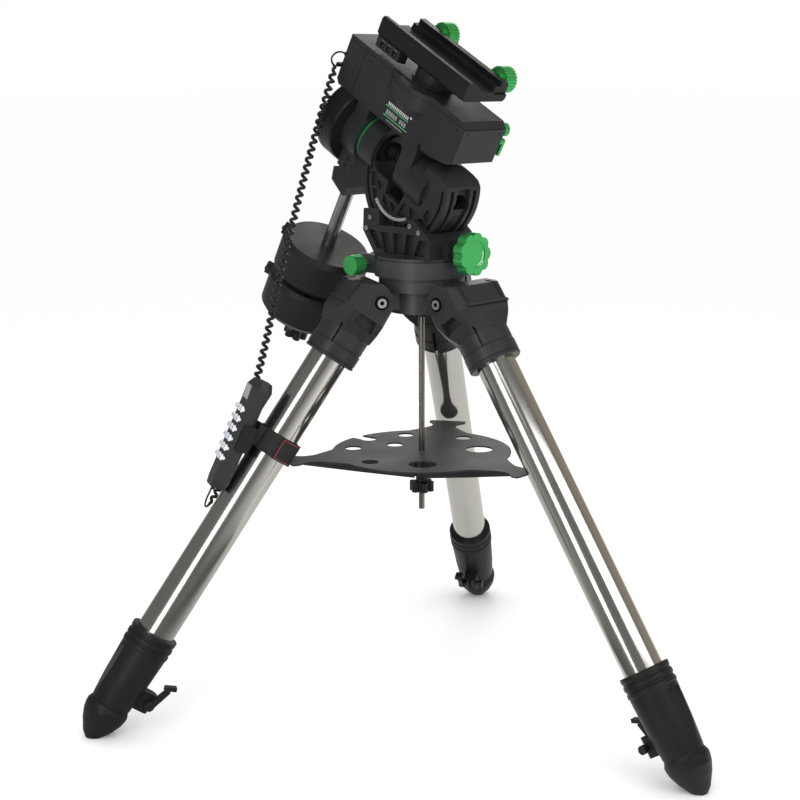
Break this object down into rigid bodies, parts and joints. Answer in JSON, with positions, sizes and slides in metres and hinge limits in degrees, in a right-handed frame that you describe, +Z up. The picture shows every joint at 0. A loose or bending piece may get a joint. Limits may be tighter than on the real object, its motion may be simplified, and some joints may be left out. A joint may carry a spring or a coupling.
{
  "type": "equatorial telescope mount",
  "caption": "Centre-balanced equatorial telescope mount on a steel-tube tripod, with spreader tray, counterweights, dovetail saddle and corded hand controller",
  "frame": {"origin": "centre of the overall box at floor level, under the three feet", "axes": "+Z up, +Y towards the raised polar end of the head, +X east (the side with the saddle clamp knobs)"},
  "size_m": [1.1134, 1.0413, 1.2654],
  "materials": {
    "black_casting": "satin black painted aluminium casting",
    "black_plastic": "black moulded plastic",
    "cord_black": "black cord jacket",
    "dark_anodised": "dark grey anodised aluminium",
    "fabric_black": "black hook-and-loop webbing",
    "green_anodised": "bright green anodised aluminium",
    "grey_plastic": "grey moulded plastic",
    "key_pearl": "pearl white keys",
    "polished_steel": "polished stainless steel",
    "scale_silver": "bare engraved aluminium",
    "steel": "machined steel",
    "tray_grey": "dark grey textured paint",
    "weight_iron": "painted cast iron"
  },
  "bodies": {
    "hub": {"tripod_hub": "black_casting", "hinge_bolts": "steel", "tray_rod": "steel", "rod_nut": "black_casting"},
    "leg_s": {"leg_s_shoulder": "black_casting", "leg_s_tube": "polished_steel", "leg_s_collar": "black_casting"},
    "extension_s": {"leg_s_inner": "polished_steel", "leg_s_foot": "black_plastic"},
    "lever_s": {"leg_s_lever": "black_plastic"},
    "leg_ne": {"leg_ne_shoulder": "black_casting", "leg_ne_tube": "polished_steel", "leg_ne_collar": "black_casting"},
    "extension_ne": {"leg_ne_inner": "polished_steel", "leg_ne_foot": "black_plastic"},
    "lever_ne": {"leg_ne_lever": "black_plastic"},
    "leg_nw": {"leg_nw_shoulder": "black_casting", "leg_nw_tube": "polished_steel", "leg_nw_collar": "black_casting", "leg_strap": "fabric_black", "handset_holder": "black_plastic", "handset_body": "grey_plastic", "control_cord": "cord_black"},
    "extension_nw": {"leg_nw_inner": "polished_steel", "leg_nw_foot": "black_plastic"},
    "lever_nw": {"leg_nw_lever": "black_plastic"},
    "tray": {"tray": "tray_grey"},
    "tray_knob": {"tray_knob": "black_plastic"},
    "azimuth_stage": {"azimuth_ring": "black_casting", "latitude_fork": "black_casting", "latitude_scale": "scale_silver", "fork_screws": "steel"},
    "azimuth_knob_west": {"azimuth_knob_west": "green_anodised"},
    "azimuth_knob_east": {"azimuth_knob_east": "green_anodised"},
    "latitude_knob": {"latitude_knob": "green_anodised"},
    "carriage": {"latitude_carriage": "black_casting", "latitude_wheel": "dark_anodised", "ra_bearings": "dark_anodised"},
    "polar_body": {"ra_shaft": "dark_anodised", "polar_scope": "black_plastic", "ra_yoke": "black_casting", "ra_ring": "green_anodised", "ra_drum": "dark_anodised", "cw_block": "black_casting", "cw_shaft": "steel", "dec_end_cap": "black_casting", "dec_body": "black_casting"},
    "cw_end_knob": {"cw_end_knob": "black_plastic"},
    "cw_upper": {"cw_upper": "weight_iron"},
    "cw_lower": {"cw_lower": "weight_iron"},
    "cw_upper_knob": {"cw_upper_knob": "black_plastic"},
    "cw_lower_knob": {"cw_lower_knob": "black_plastic"},
    "dec_clutch_knob": {"dec_clutch_knob": "green_anodised"},
    "dec_clutch_lever": {"dec_clutch_lever": "green_anodised"},
    "saddle": {"dec_head": "black_casting", "saddle": "dark_anodised"},
    "saddle_jaw": {"saddle_jaw": "dark_anodised"},
    "saddle_knob_front": {"saddle_knob_front": "green_anodised"},
    "saddle_knob_rear": {"saddle_knob_rear": "green_anodised"},
    "handset_keys": {"handset_keys": "key_pearl"}
  },
  "joints": [
    {"name": "leg_s_fold", "type": "hinge", "parent": "hub", "child": "leg_s", "pos_m": [0.0208, 0.02181, 0.77104], "axis": [0.9986, 0.0523, 0], "range_deg": [0, 16]},
    {"name": "leg_s_extend", "type": "slide", "parent": "leg_s", "child": "extension_s", "axis": [0.0294, -0.5604, -0.8277], "range_m": [0, 0.4]},
    {"name": "leg_s_clamp", "type": "hinge", "parent": "leg_s", "child": "lever_s", "pos_m": [0.04313, -0.40427, 0.0527], "axis": [0.9986, 0.0523, 0], "range_deg": [-60, 0]},
    {"name": "leg_ne_fold", "type": "hinge", "parent": "hub", "child": "leg_ne", "pos_m": [0.09599, 0.16938, 0.77104], "axis": [-0.5446, 0.8387, 0], "range_deg": [0, 16]},
    {"name": "leg_ne_extend", "type": "slide", "parent": "leg_ne", "child": "extension_ne", "axis": [0.4707, 0.3057, -0.8277], "range_m": [0, 0.4]},
    {"name": "leg_ne_clamp", "type": "hinge", "parent": "leg_ne", "child": "lever_ne", "pos_m": [0.45383, 0.40176, 0.0527], "axis": [-0.5446, 0.8387, 0], "range_deg": [-60, 0]},
    {"name": "leg_nw_fold", "type": "hinge", "parent": "hub", "child": "leg_nw", "pos_m": [-0.0694, 0.16071, 0.77104], "axis": [-0.454, -0.891, 0], "range_deg": [0, 16]},
    {"name": "leg_nw_extend", "type": "slide", "parent": "leg_nw", "child": "extension_nw", "axis": [-0.5, 0.2548, -0.8277], "range_m": [0, 0.4]},
    {"name": "leg_nw_clamp", "type": "hinge", "parent": "leg_nw", "child": "lever_nw", "pos_m": [-0.44956, 0.35441, 0.0527], "axis": [-0.454, -0.891, 0], "range_deg": [-60, 0]},
    {"name": "tray_drop", "type": "slide", "parent": "hub", "child": "tray", "axis": [0, 0, -1], "range_m": [0, 0.38]},
    {"name": "tray_knob_turn", "type": "hinge", "parent": "tray", "child": "tray_knob", "pos_m": [0.0158, 0.1173, 0.415], "axis": [0, 0, 1], "continuous": true},
    {"name": "azimuth_adjust", "type": "hinge", "parent": "hub", "child": "azimuth_stage", "pos_m": [0.0158, 0.1173, 0.83], "axis": [0, 0, 1], "range_deg": [-7, 7]},
    {"name": "azimuth_knob_west_turn", "type": "hinge", "parent": "azimuth_stage", "child": "azimuth_knob_west", "pos_m": [-0.0742, 0.1913, 0.829], "axis": [-1, 0, 0], "continuous": true},
    {"name": "azimuth_knob_east_turn", "type": "hinge", "parent": "azimuth_stage", "child": "azimuth_knob_east", "pos_m": [0.1058, 0.1913, 0.829], "axis": [1, 0, 0], "continuous": true},
    {"name": "latitude_adjust", "type": "hinge", "parent": "azimuth_stage", "child": "carriage", "pos_m": [0.0158, 0.1183, 0.976], "axis": [1, 0, 0], "range_deg": [-19, 36], "deforming": ["control_cord"]},
    {"name": "latitude_knob_turn", "type": "hinge", "parent": "azimuth_stage", "child": "latitude_knob", "pos_m": [0.0158, 0.0073, 0.857], "axis": [0, -1, 0], "continuous": true},
    {"name": "right_ascension", "type": "hinge", "parent": "carriage", "child": "polar_body", "pos_m": [0.0158, 0.2057, 1.03686], "axis": [0, 0.8746, 0.4848], "range_deg": [-90, 90]},
    {"name": "cw_end_knob_turn", "type": "hinge", "parent": "polar_body", "child": "cw_end_knob", "pos_m": [0.0158, 0.47129, 0.66499], "axis": [0, -0.4848, 0.8746], "continuous": true},
    {"name": "cw_upper_slide", "type": "slide", "parent": "polar_body", "child": "cw_upper", "axis": [0, -0.4848, 0.8746], "range_m": [0, 0.12]},
    {"name": "cw_lower_slide", "type": "slide", "parent": "polar_body", "child": "cw_lower", "axis": [0, -0.4848, 0.8746], "range_m": [-0.028, 0.006]},
    {"name": "cw_upper_knob_turn", "type": "hinge", "parent": "cw_upper", "child": "cw_upper_knob", "pos_m": [-0.00873, 0.45691, 0.8674], "axis": [-0.2756, 0.8407, 0.466], "continuous": true},
    {"name": "cw_lower_knob_turn", "type": "hinge", "parent": "cw_lower", "child": "cw_lower_knob", "pos_m": [-0.02598, 0.49105, 0.79143], "axis": [-0.4695, 0.7722, 0.4281], "continuous": true},
    {"name": "dec_clutch_knob_turn", "type": "hinge", "parent": "polar_body", "child": "dec_clutch_knob", "pos_m": [0.0751, -0.01912, 1.07117], "axis": [1, 0, 0], "continuous": true},
    {"name": "dec_clutch_lever_turn", "type": "hinge", "parent": "polar_body", "child": "dec_clutch_lever", "pos_m": [0.0758, -0.0169, 1.05067], "axis": [1, 0, 0], "range_deg": [-45, 45]},
    {"name": "declination", "type": "hinge", "parent": "polar_body", "child": "saddle", "pos_m": [0.0158, 0.08324, 1.15878], "axis": [0, -0.4848, 0.8746], "continuous": true},
    {"name": "saddle_jaw_slide", "type": "slide", "parent": "saddle", "child": "saddle_jaw", "axis": [1, 0, 0], "range_m": [0, 0.008]},
    {"name": "saddle_knob_front_turn", "type": "hinge", "parent": "saddle_jaw", "child": "saddle_knob_front", "pos_m": [0.0758, -0.00932, 1.15663], "axis": [1, 0, 0], "continuous": true},
    {"name": "saddle_knob_rear_turn", "type": "hinge", "parent": "saddle_jaw", "child": "saddle_knob_rear", "pos_m": [0.0758, 0.12887, 1.23323], "axis": [1, 0, 0], "continuous": true},
    {"name": "handset_keys_press", "type": "slide", "parent": "leg_nw", "child": "handset_keys", "axis": [0.8066, -0.411, -0.4248], "range_m": [0, 0.0012], "stiffness_N_per_m": 800, "springref_m": -0.001}
  ],
  "couplings": [
    {"joint": "leg_ne_fold", "follows": "leg_s_fold", "ratio": 1},
    {"joint": "leg_nw_fold", "follows": "leg_s_fold", "ratio": 1},
    {"joint": "tray_drop", "follows": "leg_s_fold", "m_per_rad": 1.3608}
  ]
}
